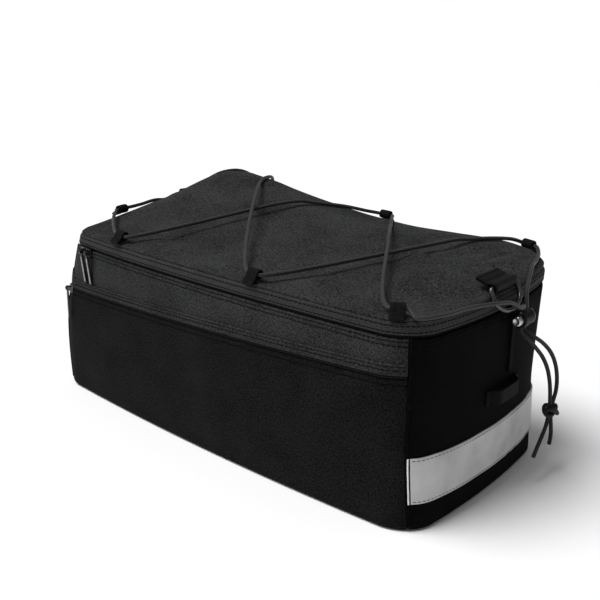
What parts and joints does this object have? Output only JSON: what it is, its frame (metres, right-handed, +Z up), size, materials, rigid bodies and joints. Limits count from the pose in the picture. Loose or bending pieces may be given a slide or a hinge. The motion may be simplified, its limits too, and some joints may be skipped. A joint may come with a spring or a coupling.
{
  "type": "insulated bicycle rack bag",
  "caption": "Boxy padded cooler bag for a rear rack: domed zip lid with criss-cross elastic lace, zipped side pocket, ring tab and reflective rear strip.",
  "frame": {"origin": "middle of the flat base, where the bag rests on a rack", "axes": "+X to the rear of the bicycle, the bag's longest way; -Y the side with the zipped pocket; +Z up"},
  "size_m": [0.4202, 0.2181, 0.1826],
  "materials": {
    "cloth": "plain woven polyester, matt",
    "binding": "woven band, matt",
    "zip_tape": "coil zip, matt",
    "webbing": "ribbed webbing, matt",
    "reflector": "silver reflective cloth",
    "elastic_cord": "braided elastic, satin",
    "lock_plastic": "satin black",
    "zinc": "nickel plated, worn"
  },
  "bodies": {
    "bag": {"body_tub": "cloth", "side_pocket_panel": "cloth", "pocket_zip": "zip_tape", "side_panel_upper": "cloth", "pocket_flap": "cloth", "lid_band": "binding", "main_zip": "zip_tape", "lid_panel": "cloth", "reflective_strip": "reflector", "lace_loop_near_rear": "webbing", "lace_loop_far_middle": "webbing", "lace_loop_near_front": "webbing", "lace_loop_front_near": "webbing", "lace_loop_front_far": "webbing", "lace_loop_far_front": "webbing", "lace_loop_near_middle": "webbing", "lace_loop_far_rear": "webbing", "elastic_lace": "elastic_cord", "cord_lock_body": "lock_plastic", "cord_lock_loop": "elastic_cord", "cord_tail_near": "elastic_cord", "cord_tail_far": "elastic_cord", "tail_knot": "elastic_cord", "lock_tether": "webbing", "lamp_loop": "webbing", "ring_tab": "webbing", "d_ring": "zinc", "main_zip_slider_1": "zinc", "main_zip_slider_2": "zinc", "pocket_zip_slider": "zinc"},
    "lock_button": {"cord_lock_button": "zinc"},
    "main_pull_1": {"main_zip_pull_1": "zinc"},
    "main_pull_2": {"main_zip_pull_2": "zinc"},
    "pocket_pull": {"pocket_zip_pull": "zinc"}
  },
  "joints": [
    {"name": "main_pull_1_hinge", "type": "hinge", "parent": "bag", "child": "main_pull_1", "pos_m": [-0.14264, -0.10343, 0.13352], "axis": [-0.9961, 0.088, 0], "range_deg": [0, 150]},
    {"name": "main_pull_2_hinge", "type": "hinge", "parent": "bag", "child": "main_pull_2", "pos_m": [-0.13475, -0.1041, 0.13359], "axis": [-0.9967, 0.0814, 0], "range_deg": [0, 150]},
    {"name": "pocket_pull_hinge", "type": "hinge", "parent": "bag", "child": "pocket_pull", "pos_m": [-0.17116, -0.09826, 0.09347], "axis": [-0.8931, 0.4499, 0], "range_deg": [0, 150]},
    {"name": "lock_button_slide", "type": "slide", "parent": "bag", "child": "lock_button", "axis": [-0.0407, 0.9992, 0], "range_m": [0, 0.0035], "stiffness_N_per_m": 300}
  ]
}
